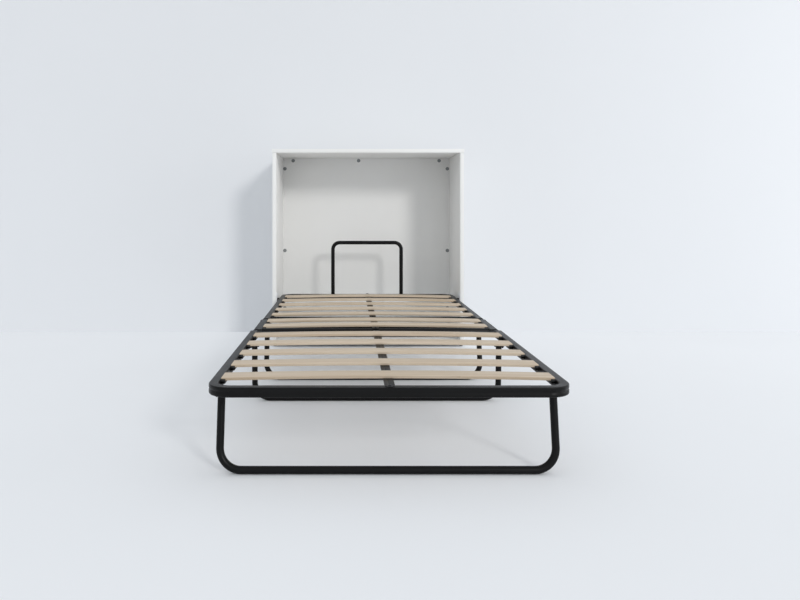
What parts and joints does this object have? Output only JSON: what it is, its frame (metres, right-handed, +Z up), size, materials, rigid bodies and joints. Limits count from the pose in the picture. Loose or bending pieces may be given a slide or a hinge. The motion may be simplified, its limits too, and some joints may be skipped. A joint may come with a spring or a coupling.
{
  "type": "folding bed",
  "caption": "Single slatted bed on a black tube frame that folds in three and tilts up into an open white cabinet at its head.",
  "frame": {"origin": "on the floor under the centre of the whole object's box", "axes": "+Z up, -Y to the foot of the bed, +X across it"},
  "size_m": [0.946, 2.094, 0.975],
  "materials": {
    "black_steel": "satin powder coat",
    "black_bolts": "black oxide",
    "black_plastic": "moulded",
    "grey_plastic": "moulded",
    "white_steel": "white powder coat",
    "white_melamine": "matt white laminate on board",
    "beech": "sanded and clear lacquered"
  },
  "bodies": {
    "cabinet": {"side_panel_left": "white_melamine", "side_panel_right": "white_melamine", "top_panel": "white_melamine", "bottom_panel": "white_melamine", "back_panel": "white_melamine", "panel_dowels": "beech", "floor_glides": "black_plastic", "cam_lock_caps": "grey_plastic", "pivot_plates": "white_steel", "pivot_plate_screws": "white_steel", "pivot_bushes": "black_plastic", "pivot_bolts": "black_bolts", "pivot_nuts": "black_bolts"},
    "head_section": {"head_rail_loop": "black_steel", "head_cross_tube": "black_steel", "head_hinge_knuckles": "black_steel", "head_centre_bar": "black_steel", "head_bar_rivets": "black_bolts", "head_slat_1": "beech", "head_slat_2": "beech", "head_slat_3": "beech", "head_slat_4": "beech", "head_slat_5": "beech", "head_slat_seats": "black_plastic", "head_leg_tabs": "black_steel", "head_leg_bolts": "black_bolts", "head_leg_nuts": "black_bolts", "mattress_hoop": "black_steel", "hoop_bolts": "black_bolts", "hoop_end_caps": "black_plastic"},
    "middle_section": {"middle_rails": "black_steel", "middle_rail_plugs": "black_plastic", "middle_cross_tubes": "black_steel", "middle_centre_bar": "black_steel", "middle_bar_rivets": "black_bolts", "middle_slat_1": "beech", "middle_slat_2": "beech", "middle_slat_seats": "black_plastic", "hinge_straps": "black_steel", "hinge_pins": "black_bolts", "hinge_nuts": "black_bolts"},
    "foot_section": {"foot_rail_loop": "black_steel", "foot_cross_tube": "black_steel", "foot_hinge_knuckles": "black_steel", "foot_centre_bar": "black_steel", "foot_bar_rivets": "black_bolts", "foot_slat_1": "beech", "foot_slat_2": "beech", "foot_slat_3": "beech", "foot_slat_4": "beech", "foot_slat_5": "beech", "foot_slat_seats": "black_plastic", "foot_leg_tabs": "black_steel", "foot_leg_bolts": "black_bolts", "foot_leg_nuts": "black_bolts"},
    "front_leg": {"front_leg_hoop": "black_steel"},
    "middle_leg": {"middle_leg_hoop": "black_steel"},
    "head_leg": {"head_leg_hoop": "black_steel"}
  },
  "joints": [
    {"name": "bed_lift", "type": "hinge", "parent": "cabinet", "child": "head_section", "pos_m": [0, 0.688, 0.228], "axis": [-1, 0, 0], "range_deg": [0, 84]},
    {"name": "head_fold", "type": "hinge", "parent": "head_section", "child": "middle_section", "pos_m": [0, 0.018, 0.229], "axis": [-1, 0, 0], "range_deg": [0, 90]},
    {"name": "foot_fold", "type": "hinge", "parent": "middle_section", "child": "foot_section", "pos_m": [0, -0.232, 0.229], "axis": [-1, 0, 0], "range_deg": [0, 90]},
    {"name": "front_leg_fold", "type": "hinge", "parent": "foot_section", "child": "front_leg", "pos_m": [0, -0.932, 0.199], "axis": [1, 0, 0], "range_deg": [0, 100]},
    {"name": "middle_leg_fold", "type": "hinge", "parent": "foot_section", "child": "middle_leg", "pos_m": [0, -0.299, 0.199], "axis": [-1, 0, 0], "range_deg": [0, 93]},
    {"name": "head_leg_fold", "type": "hinge", "parent": "head_section", "child": "head_leg", "pos_m": [0, 0.051, 0.199], "axis": [1, 0, 0], "range_deg": [0, 102]}
  ],
  "couplings": [
    {"joint": "foot_fold", "follows": "head_fold", "ratio": 1}
  ]
}
